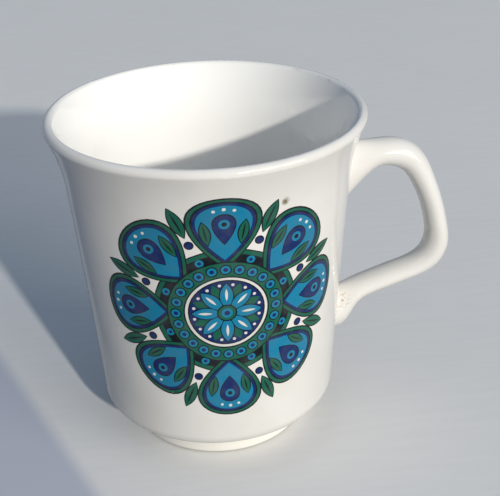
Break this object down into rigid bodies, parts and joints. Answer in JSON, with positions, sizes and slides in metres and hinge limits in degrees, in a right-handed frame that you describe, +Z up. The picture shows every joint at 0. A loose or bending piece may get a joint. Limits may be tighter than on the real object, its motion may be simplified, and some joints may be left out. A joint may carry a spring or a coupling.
{
  "type": "ceramic mug",
  "caption": "Glazed earthenware mug with a flared rounded lip, a recessed foot ring, a webbed loop handle and a round printed medallion on one side.",
  "frame": {"origin": "where the mug's axis meets the surface it stands on, in the plane of the foot ring's tread", "axes": "+Z up along the axis of the cup, +X out along the handle, -Y out through the printed side"},
  "size_m": [0.1098, 0.084, 0.0935],
  "materials": {
    "cup_glaze": "gloss",
    "handle_glaze": "gloss",
    "slip": "gloss",
    "print": "gloss"
  },
  "bodies": {
    "root": {"body": "cup_glaze", "handle": "handle_glaze", "upper_slip_joint": "slip", "lower_slip_joint": "slip", "transfer": "print"}
  },
  "joints": []
}
